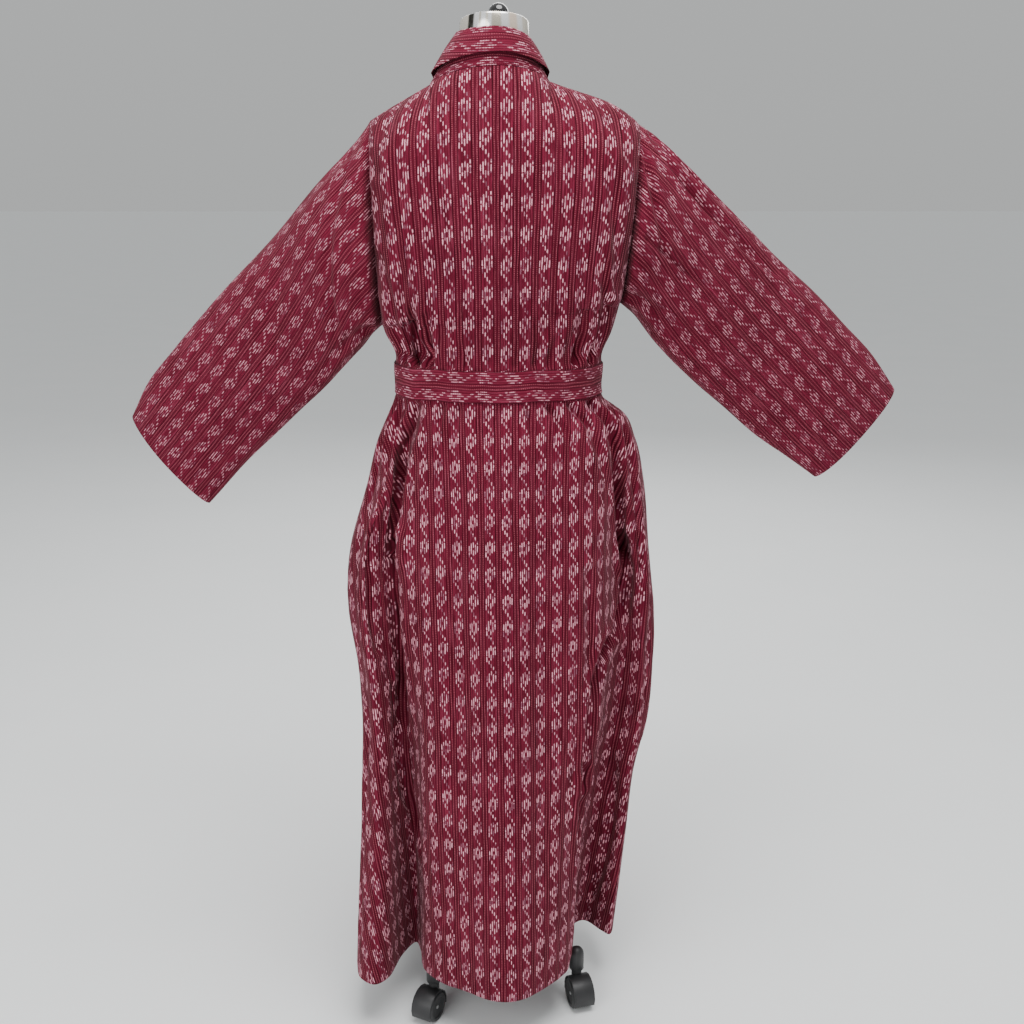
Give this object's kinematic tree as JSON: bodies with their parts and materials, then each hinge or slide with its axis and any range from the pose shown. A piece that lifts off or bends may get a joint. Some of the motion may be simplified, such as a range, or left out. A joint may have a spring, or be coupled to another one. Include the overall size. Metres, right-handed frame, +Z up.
{
  "type": "abaya robe on a limbless dress form stand",
  "caption": "Long maroon robe with a shirt collar, wide sleeves and a tied belt, worn by a limbless dress form with a chromed neck cap, on a caster base",
  "frame": {"origin": "on the floor under the middle of the whole part's box", "axes": "+Z up, the robe's front faces -Y, the wearer's left side is +X"},
  "size_m": [1.23, 0.408, 1.5368],
  "materials": {
    "robe_cotton": "woven, matte",
    "form_cover": "plain cover",
    "chrome": "polished",
    "black_gloss": "glossy",
    "black_plastic": "satin",
    "steel": "brushed"
  },
  "bodies": {
    "dressed_form": {"back": "robe_cotton", "front_left": "robe_cotton", "front_right": "robe_cotton", "sleeve_left": "robe_cotton", "sleeve_right": "robe_cotton", "collar_stand": "robe_cotton", "collar_fall": "robe_cotton", "belt": "robe_cotton", "belt_knot": "robe_cotton", "belt_tail_left": "robe_cotton", "belt_tail_right": "robe_cotton", "torso": "form_cover", "neck_cap": "chrome", "neck_knob": "black_gloss", "pole": "black_plastic", "star_base": "black_plastic"},
    "caster_1": {"caster_1_fork": "black_plastic", "caster_1_axle": "steel"},
    "caster_2": {"caster_2_fork": "black_plastic", "caster_2_axle": "steel"},
    "caster_3": {"caster_3_fork": "black_plastic", "caster_3_axle": "steel"},
    "caster_4": {"caster_4_fork": "black_plastic", "caster_4_axle": "steel"},
    "wheel_1_a": {"caster_1_wheel_a": "black_plastic"},
    "wheel_1_b": {"caster_1_wheel_b": "black_plastic"},
    "wheel_2_a": {"caster_2_wheel_a": "black_plastic"},
    "wheel_2_b": {"caster_2_wheel_b": "black_plastic"},
    "wheel_3_a": {"caster_3_wheel_a": "black_plastic"},
    "wheel_3_b": {"caster_3_wheel_b": "black_plastic"},
    "wheel_4_a": {"caster_4_wheel_a": "black_plastic"},
    "wheel_4_b": {"caster_4_wheel_b": "black_plastic"}
  },
  "joints": [
    {"name": "swivel_1", "type": "hinge", "parent": "dressed_form", "child": "caster_1", "pos_m": [0.13192, 0.10941, 0.06], "axis": [0, 0, 1], "continuous": true},
    {"name": "swivel_2", "type": "hinge", "parent": "dressed_form", "child": "caster_2", "pos_m": [-0.09938, 0.07854, 0.06], "axis": [0, 0, 1], "continuous": true},
    {"name": "swivel_3", "type": "hinge", "parent": "dressed_form", "child": "caster_3", "pos_m": [-0.06852, -0.15275, 0.06], "axis": [0, 0, 1], "continuous": true},
    {"name": "swivel_4", "type": "hinge", "parent": "dressed_form", "child": "caster_4", "pos_m": [0.16278, -0.12189, 0.06], "axis": [0, 0, 1], "continuous": true},
    {"name": "roll_1_a", "type": "hinge", "parent": "caster_1", "child": "wheel_1_a", "pos_m": [0.13941, 0.12411, 0.02354], "axis": [0.891, -0.454, 0], "continuous": true},
    {"name": "roll_1_b", "type": "hinge", "parent": "caster_1", "child": "wheel_1_b", "pos_m": [0.13941, 0.12411, 0.02354], "axis": [0.891, -0.454, 0], "continuous": true},
    {"name": "roll_2_a", "type": "hinge", "parent": "caster_2", "child": "wheel_2_a", "pos_m": [-0.10393, 0.09441, 0.02354], "axis": [0.9613, 0.2756, 0], "continuous": true},
    {"name": "roll_2_b", "type": "hinge", "parent": "caster_2", "child": "wheel_2_b", "pos_m": [-0.10393, 0.09441, 0.02354], "axis": [0.9613, 0.2756, 0], "continuous": true},
    {"name": "roll_3_a", "type": "hinge", "parent": "caster_3", "child": "wheel_3_a", "pos_m": [-0.07416, -0.16826, 0.02354], "axis": [-0.9397, 0.342, 0], "continuous": true},
    {"name": "roll_3_b", "type": "hinge", "parent": "caster_3", "child": "wheel_3_b", "pos_m": [-0.07416, -0.16826, 0.02354], "axis": [-0.9397, 0.342, 0], "continuous": true},
    {"name": "roll_4_a", "type": "hinge", "parent": "caster_4", "child": "wheel_4_a", "pos_m": [0.17103, -0.13618, 0.02354], "axis": [-0.866, -0.5, 0], "continuous": true},
    {"name": "roll_4_b", "type": "hinge", "parent": "caster_4", "child": "wheel_4_b", "pos_m": [0.17103, -0.13618, 0.02354], "axis": [-0.866, -0.5, 0], "continuous": true}
  ]
}
